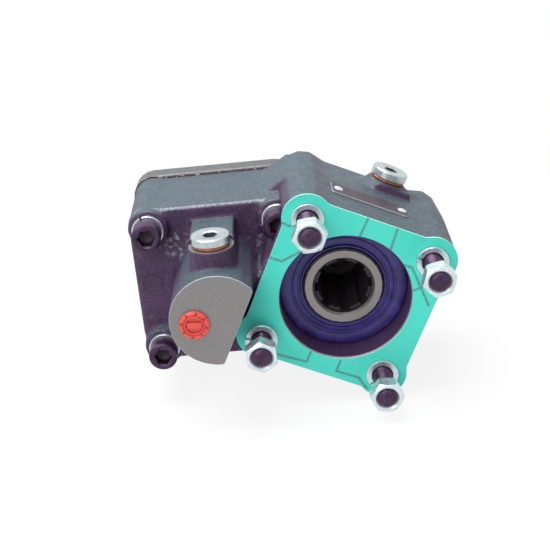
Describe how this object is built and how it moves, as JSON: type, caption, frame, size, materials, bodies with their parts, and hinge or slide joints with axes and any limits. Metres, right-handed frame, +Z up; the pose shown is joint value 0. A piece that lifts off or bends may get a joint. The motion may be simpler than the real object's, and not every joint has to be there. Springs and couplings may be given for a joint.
{
  "type": "power take off unit",
  "caption": "Gearbox power take off with a pneumatic shift cylinder, meshed spur gears and a splined output behind a studded square pump flange.",
  "frame": {"origin": "on the gearbox face of the back plate, straight below the input axis", "axes": "+Y along both shafts towards the gearbox, -Y towards the pump, +Z up along the indicator plug's axis"},
  "size_m": [0.201, 0.16, 0.1399],
  "materials": {
    "casting": "painted satin over a rough casting",
    "gasket": "matte fibre sheet",
    "label": "dark anodised",
    "black_steel": "black oxide",
    "zinc_steel": "bright zinc plate",
    "copper": "plain copper",
    "red_plastic": "satin moulded",
    "ground_steel": "ground and lightly oiled",
    "spring_steel": "dark spring steel",
    "seal_rubber": "dark blue rubber",
    "black_rubber": "matte",
    "aluminium": "turned"
  },
  "bodies": {
    "casing": {"housing": "casting", "back_plate": "casting", "output_gasket": "gasket", "nameplate": "label", "nameplate_pin_1": "zinc_steel", "nameplate_pin_2": "zinc_steel", "mounting_screw_1": "black_steel", "mounting_screw_2": "black_steel", "mounting_screw_3": "black_steel", "screw_washer_1": "zinc_steel", "screw_washer_2": "zinc_steel", "screw_washer_3": "zinc_steel", "stud_1": "black_steel", "stud_2": "black_steel", "stud_3": "black_steel", "stud_4": "black_steel", "stud_nut_1": "zinc_steel", "stud_nut_2": "zinc_steel", "stud_nut_3": "zinc_steel", "stud_nut_4": "zinc_steel", "stud_washer_1": "zinc_steel", "stud_washer_2": "zinc_steel", "stud_washer_3": "zinc_steel", "stud_washer_4": "zinc_steel", "indicator_plug": "zinc_steel", "indicator_plug_washer": "copper", "filler_plug": "zinc_steel", "filler_plug_washer": "copper", "port_cap": "red_plastic", "shaft_seal": "seal_rubber", "output_retaining_ring": "spring_steel", "output_front_bearing": "ground_steel", "output_back_bearing": "ground_steel", "input_front_bearing": "ground_steel", "input_back_bearing": "ground_steel", "return_spring": "spring_steel", "spring_seat": "ground_steel", "spring_retaining_ring": "spring_steel"},
    "output_shaft_body": {"output_shaft": "ground_steel", "bore_plug": "ground_steel"},
    "input_gear_body": {"input_gear": "ground_steel"},
    "sleeve_body": {"coupling_sleeve": "ground_steel"},
    "piston_body": {"piston": "aluminium", "piston_seal": "black_rubber", "shift_bearing": "ground_steel"}
  },
  "joints": [
    {"name": "input_spin", "type": "hinge", "parent": "casing", "child": "input_gear_body", "pos_m": [0, 0, 0.045], "axis": [0, 1, 0], "continuous": true},
    {"name": "output_spin", "type": "hinge", "parent": "casing", "child": "output_shaft_body", "pos_m": [0.07681, 0, 0.03963], "axis": [0, 1, 0], "continuous": true},
    {"name": "piston_shift", "type": "slide", "parent": "casing", "child": "piston_body", "axis": [0, 1, 0], "range_m": [0, 0.01], "stiffness_N_per_m": 3000, "springref_m": -0.005, "deforming": ["return_spring"]},
    {"name": "sleeve_shift", "type": "slide", "parent": "input_gear_body", "child": "sleeve_body", "axis": [0, 1, 0], "range_m": [0, 0.01]}
  ],
  "couplings": [
    {"joint": "output_spin", "follows": "input_spin", "ratio": -1.2},
    {"joint": "sleeve_shift", "follows": "piston_shift", "ratio": 1}
  ]
}
